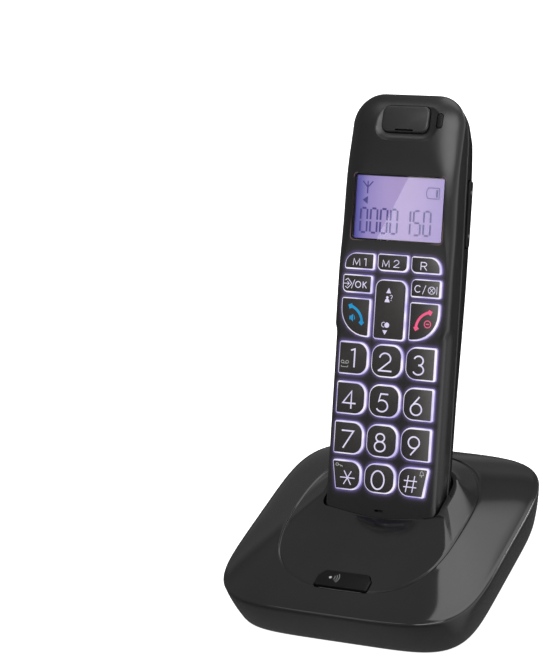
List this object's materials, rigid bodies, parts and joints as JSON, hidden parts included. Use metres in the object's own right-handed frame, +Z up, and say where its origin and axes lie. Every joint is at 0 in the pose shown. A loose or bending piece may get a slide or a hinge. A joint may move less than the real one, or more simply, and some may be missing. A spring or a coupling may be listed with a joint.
{
  "type": "cordless phone with base",
  "caption": "Cordless telephone with a big-button handset and lit display, leaning back in the pocket of a square charging base with a handset-finder button.",
  "frame": {"origin": "on the surface the feet stand on, under the middle of the whole set with the handset in its base", "axes": "+Z up, +X to the right of someone facing the keypad, -Y to the front, so the handset leans back towards +Y"},
  "size_m": [0.11, 0.1519, 0.1646],
  "materials": {
    "shell_black": "smooth satin-gloss moulded black",
    "key_grey": "fine satin, dark grey",
    "lens_smoke": "clear moulded acrylic",
    "lcd_lavender": "back-lit liquid crystal behind a lavender filter",
    "board_green": "solder mask",
    "steel": "plated steel",
    "contact_gold": "gold-plated spring strip",
    "rubber": "matte",
    "silicone": "translucent silicone",
    "jack_grey": "moulded dark grey",
    "cell_green": "printed shrink sleeve over a steel can",
    "speaker_black": "black can and cone",
    "pipe_smoke": "smoked light pipe"
  },
  "bodies": {
    "base": {"base_top_shell": "shell_black", "base_bottom_cover": "shell_black", "rubber_foot_1": "rubber", "rubber_foot_2": "rubber", "rubber_foot_3": "rubber", "rubber_foot_4": "rubber", "base_screw_1": "steel", "base_screw_2": "steel", "base_screw_3": "steel", "base_screw_4": "steel", "base_circuit_board": "board_green", "power_inlet": "jack_grey", "line_socket": "jack_grey", "page_board": "board_green", "page_switch": "speaker_black", "base_charge_contact_left": "contact_gold", "base_charge_contact_right": "contact_gold"},
    "handset": {"handset_front_shell": "shell_black", "handset_rear_shell": "shell_black", "display_lens": "lens_smoke", "display_module": "lcd_lavender", "keypad_mat": "silicone", "handset_circuit_board": "board_green", "earpiece_cover": "shell_black", "earpiece_speaker": "speaker_black", "call_light": "pipe_smoke", "ringer_speaker": "speaker_black", "microphone": "speaker_black", "handset_charge_pad_left": "contact_gold", "handset_charge_pad_right": "contact_gold", "handset_screw_1": "steel", "handset_screw_2": "steel", "battery_tray": "jack_grey", "battery_cell_left": "cell_green", "battery_cell_right": "cell_green", "battery_contact_plate": "steel", "battery_contact_springs": "steel"},
    "page_button": {"page_button": "shell_black"},
    "navigation_rocker": {"navigation_rocker": "key_grey"},
    "volume_rocker": {"volume_rocker": "key_grey"},
    "battery_door": {"battery_door": "shell_black"},
    "key_memory_1": {"key_memory_1": "key_grey"},
    "key_memory_2": {"key_memory_2": "key_grey"},
    "key_recall": {"key_recall": "key_grey"},
    "key_ok": {"key_ok": "key_grey"},
    "key_clear": {"key_clear": "key_grey"},
    "key_talk": {"key_talk": "key_grey"},
    "key_end": {"key_end": "key_grey"},
    "key_1": {"key_1": "key_grey"},
    "key_2": {"key_2": "key_grey"},
    "key_3": {"key_3": "key_grey"},
    "key_4": {"key_4": "key_grey"},
    "key_5": {"key_5": "key_grey"},
    "key_6": {"key_6": "key_grey"},
    "key_7": {"key_7": "key_grey"},
    "key_8": {"key_8": "key_grey"},
    "key_9": {"key_9": "key_grey"},
    "key_star": {"key_star": "key_grey"},
    "key_0": {"key_0": "key_grey"},
    "key_hash": {"key_hash": "key_grey"}
  },
  "joints": [
    {"name": "handset_lift", "type": "slide", "parent": "base", "child": "handset", "axis": [0, 0.5225, 0.8526], "range_m": [0, 0.08]},
    {"name": "key_memory_1_press", "type": "slide", "parent": "handset", "child": "key_memory_1", "axis": [0, 0.8526, -0.5225], "range_m": [0, 0.0008], "stiffness_N_per_m": 800},
    {"name": "key_memory_2_press", "type": "slide", "parent": "handset", "child": "key_memory_2", "axis": [0, 0.8526, -0.5225], "range_m": [0, 0.0008], "stiffness_N_per_m": 800},
    {"name": "key_recall_press", "type": "slide", "parent": "handset", "child": "key_recall", "axis": [0, 0.8526, -0.5225], "range_m": [0, 0.0008], "stiffness_N_per_m": 800},
    {"name": "key_ok_press", "type": "slide", "parent": "handset", "child": "key_ok", "axis": [0, 0.8526, -0.5225], "range_m": [0, 0.0008], "stiffness_N_per_m": 800},
    {"name": "key_clear_press", "type": "slide", "parent": "handset", "child": "key_clear", "axis": [0, 0.8526, -0.5225], "range_m": [0, 0.0008], "stiffness_N_per_m": 800},
    {"name": "key_talk_press", "type": "slide", "parent": "handset", "child": "key_talk", "axis": [0, 0.8526, -0.5225], "range_m": [0, 0.0008], "stiffness_N_per_m": 800},
    {"name": "key_end_press", "type": "slide", "parent": "handset", "child": "key_end", "axis": [0, 0.8526, -0.5225], "range_m": [0, 0.0008], "stiffness_N_per_m": 800},
    {"name": "key_1_press", "type": "slide", "parent": "handset", "child": "key_1", "axis": [0, 0.8526, -0.5225], "range_m": [0, 0.0008], "stiffness_N_per_m": 800},
    {"name": "key_2_press", "type": "slide", "parent": "handset", "child": "key_2", "axis": [0, 0.8526, -0.5225], "range_m": [0, 0.0008], "stiffness_N_per_m": 800},
    {"name": "key_3_press", "type": "slide", "parent": "handset", "child": "key_3", "axis": [0, 0.8526, -0.5225], "range_m": [0, 0.0008], "stiffness_N_per_m": 800},
    {"name": "key_4_press", "type": "slide", "parent": "handset", "child": "key_4", "axis": [0, 0.8526, -0.5225], "range_m": [0, 0.0008], "stiffness_N_per_m": 800},
    {"name": "key_5_press", "type": "slide", "parent": "handset", "child": "key_5", "axis": [0, 0.8526, -0.5225], "range_m": [0, 0.0008], "stiffness_N_per_m": 800},
    {"name": "key_6_press", "type": "slide", "parent": "handset", "child": "key_6", "axis": [0, 0.8526, -0.5225], "range_m": [0, 0.0008], "stiffness_N_per_m": 800},
    {"name": "key_7_press", "type": "slide", "parent": "handset", "child": "key_7", "axis": [0, 0.8526, -0.5225], "range_m": [0, 0.0008], "stiffness_N_per_m": 800},
    {"name": "key_8_press", "type": "slide", "parent": "handset", "child": "key_8", "axis": [0, 0.8526, -0.5225], "range_m": [0, 0.0008], "stiffness_N_per_m": 800},
    {"name": "key_9_press", "type": "slide", "parent": "handset", "child": "key_9", "axis": [0, 0.8526, -0.5225], "range_m": [0, 0.0008], "stiffness_N_per_m": 800},
    {"name": "key_star_press", "type": "slide", "parent": "handset", "child": "key_star", "axis": [0, 0.8526, -0.5225], "range_m": [0, 0.0008], "stiffness_N_per_m": 800},
    {"name": "key_0_press", "type": "slide", "parent": "handset", "child": "key_0", "axis": [0, 0.8526, -0.5225], "range_m": [0, 0.0008], "stiffness_N_per_m": 800},
    {"name": "key_hash_press", "type": "slide", "parent": "handset", "child": "key_hash", "axis": [0, 0.8526, -0.5225], "range_m": [0, 0.0008], "stiffness_N_per_m": 800},
    {"name": "navigation_rocker_tilt", "type": "hinge", "parent": "handset", "child": "navigation_rocker", "pos_m": [0, 0.02092, 0.09548], "axis": [1, 0, 0], "range_deg": [-2.5, 2.5], "stiffness_Nm_per_rad": 0.4},
    {"name": "volume_rocker_tilt", "type": "hinge", "parent": "handset", "child": "volume_rocker", "pos_m": [0.02338, 0.05398, 0.12149], "axis": [0, -0.8526, 0.5225], "range_deg": [-2.5, 2.5], "stiffness_Nm_per_rad": 0.4},
    {"name": "battery_door_release", "type": "slide", "parent": "handset", "child": "battery_door", "axis": [0, 0.8526, -0.5225], "range_m": [0, 0.015]},
    {"name": "page_button_press", "type": "slide", "parent": "base", "child": "page_button", "axis": [0, 0.1075, -0.9942], "range_m": [0, 0.0008], "stiffness_N_per_m": 800}
  ]
}
